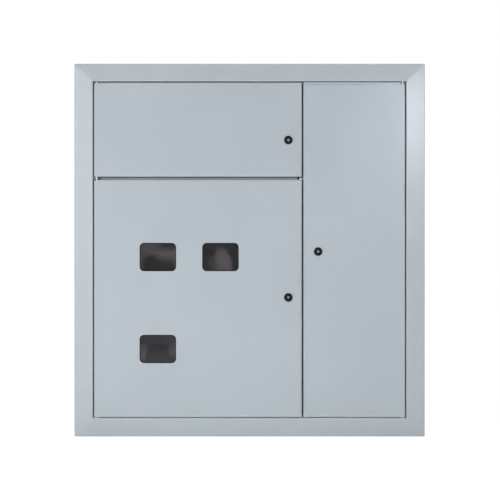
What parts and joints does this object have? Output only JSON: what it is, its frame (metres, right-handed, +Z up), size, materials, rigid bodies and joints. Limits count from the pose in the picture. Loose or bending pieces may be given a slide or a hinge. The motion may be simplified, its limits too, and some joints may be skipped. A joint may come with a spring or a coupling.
{
  "type": "floor distribution board",
  "caption": "Recessed floor distribution board: folded steel box with mitred front frame, breaker door, windowed meter door and low-current door, each with a quarter-turn lock.",
  "frame": {"origin": "middle of the back panel's rear face, centre of the four wall fixings", "axes": "+Z up along the height, +X right seen from the front, doors face -Y"},
  "size_m": [0.94, 0.1525, 1],
  "materials": {
    "painted_sheet": "light grey powder coat, fine orange peel, satin",
    "zinc_sheet": "bright galvanised sheet",
    "cover_paint": "light grey powder coat, satin",
    "zinc_hardware": "zinc-plated hardware",
    "black_plastic": "black moulded plastic, soft gloss",
    "brass": "drawn brass",
    "blue_plastic": "blue insulating plastic",
    "green_plastic": "green insulating plastic",
    "clear_plastic": "clear acrylic sheet"
  },
  "bodies": {
    "enclosure": {"side_wall_left": "painted_sheet", "side_wall_right": "painted_sheet", "top_wall": "painted_sheet", "bottom_wall": "painted_sheet", "back_panel": "painted_sheet", "frame_left": "painted_sheet", "frame_right": "painted_sheet", "frame_top": "painted_sheet", "frame_bottom": "painted_sheet", "mullion": "painted_sheet", "crossbar": "painted_sheet", "hinge_lug": "painted_sheet", "partition": "painted_sheet", "shelf": "painted_sheet", "rail_support_left": "zinc_sheet", "rail_support_right": "zinc_sheet", "din_rail_lower": "zinc_sheet", "din_rail_upper": "zinc_sheet", "meter_support_left": "zinc_sheet", "meter_support_right": "zinc_sheet", "meter_plate_upper": "zinc_sheet", "meter_plate_lower": "zinc_sheet", "signal_rail_lower": "zinc_sheet", "signal_rail_upper": "zinc_sheet", "signal_plate": "zinc_sheet", "cover_pillars": "zinc_sheet", "breaker_cover": "cover_paint", "panel_screws": "zinc_hardware", "hinge_pins": "zinc_hardware", "hinge_washers": "zinc_hardware", "earth_stud": "zinc_hardware", "earth_nuts": "zinc_hardware", "terminal_screws": "zinc_hardware", "neutral_bar": "brass", "earth_bar": "brass", "neutral_posts": "blue_plastic", "earth_posts": "green_plastic"},
    "upper_door": {"upper_door": "painted_sheet", "upper_lock_body": "black_plastic", "upper_lock_nut": "zinc_hardware"},
    "lower_door": {"lower_door": "painted_sheet", "lower_lock_body": "black_plastic", "lower_lock_nut": "zinc_hardware", "window_pane_left": "clear_plastic", "window_pane_right": "clear_plastic", "window_pane_lower": "clear_plastic", "pane_studs": "zinc_hardware", "pane_nuts": "zinc_hardware"},
    "right_door": {"right_door": "painted_sheet", "right_lock_body": "black_plastic", "right_lock_nut": "zinc_hardware"},
    "upper_cam": {"upper_lock_driver": "zinc_hardware", "upper_lock_cam": "zinc_hardware", "upper_cam_screw": "zinc_hardware"},
    "lower_cam": {"lower_lock_driver": "zinc_hardware", "lower_lock_cam": "zinc_hardware", "lower_cam_screw": "zinc_hardware"},
    "right_cam": {"right_lock_driver": "zinc_hardware", "right_lock_cam": "zinc_hardware", "right_cam_screw": "zinc_hardware"}
  },
  "joints": [
    {"name": "upper_door_hinge", "type": "hinge", "parent": "enclosure", "child": "upper_door", "pos_m": [-0.4105, -0.143, 0.3233], "axis": [0, 0, -1], "range_deg": [0, 100]},
    {"name": "lower_door_hinge", "type": "hinge", "parent": "enclosure", "child": "lower_door", "pos_m": [-0.4105, -0.143, -0.12975], "axis": [0, 0, -1], "range_deg": [0, 100]},
    {"name": "right_door_hinge", "type": "hinge", "parent": "enclosure", "child": "right_door", "pos_m": [0.4105, -0.143, -0.0021], "axis": [0, 0, 1], "range_deg": [0, 100]},
    {"name": "upper_lock_turn", "type": "hinge", "parent": "upper_door", "child": "upper_cam", "pos_m": [0.104, -0.142, 0.295], "axis": [0, -1, 0], "range_deg": [0, 90]},
    {"name": "lower_lock_turn", "type": "hinge", "parent": "lower_door", "child": "lower_cam", "pos_m": [0.104, -0.142, -0.127], "axis": [0, -1, 0], "range_deg": [0, 90]},
    {"name": "right_lock_turn", "type": "hinge", "parent": "right_door", "child": "right_cam", "pos_m": [0.184, -0.142, -0.004], "axis": [0, 1, 0], "range_deg": [0, 90]}
  ]
}
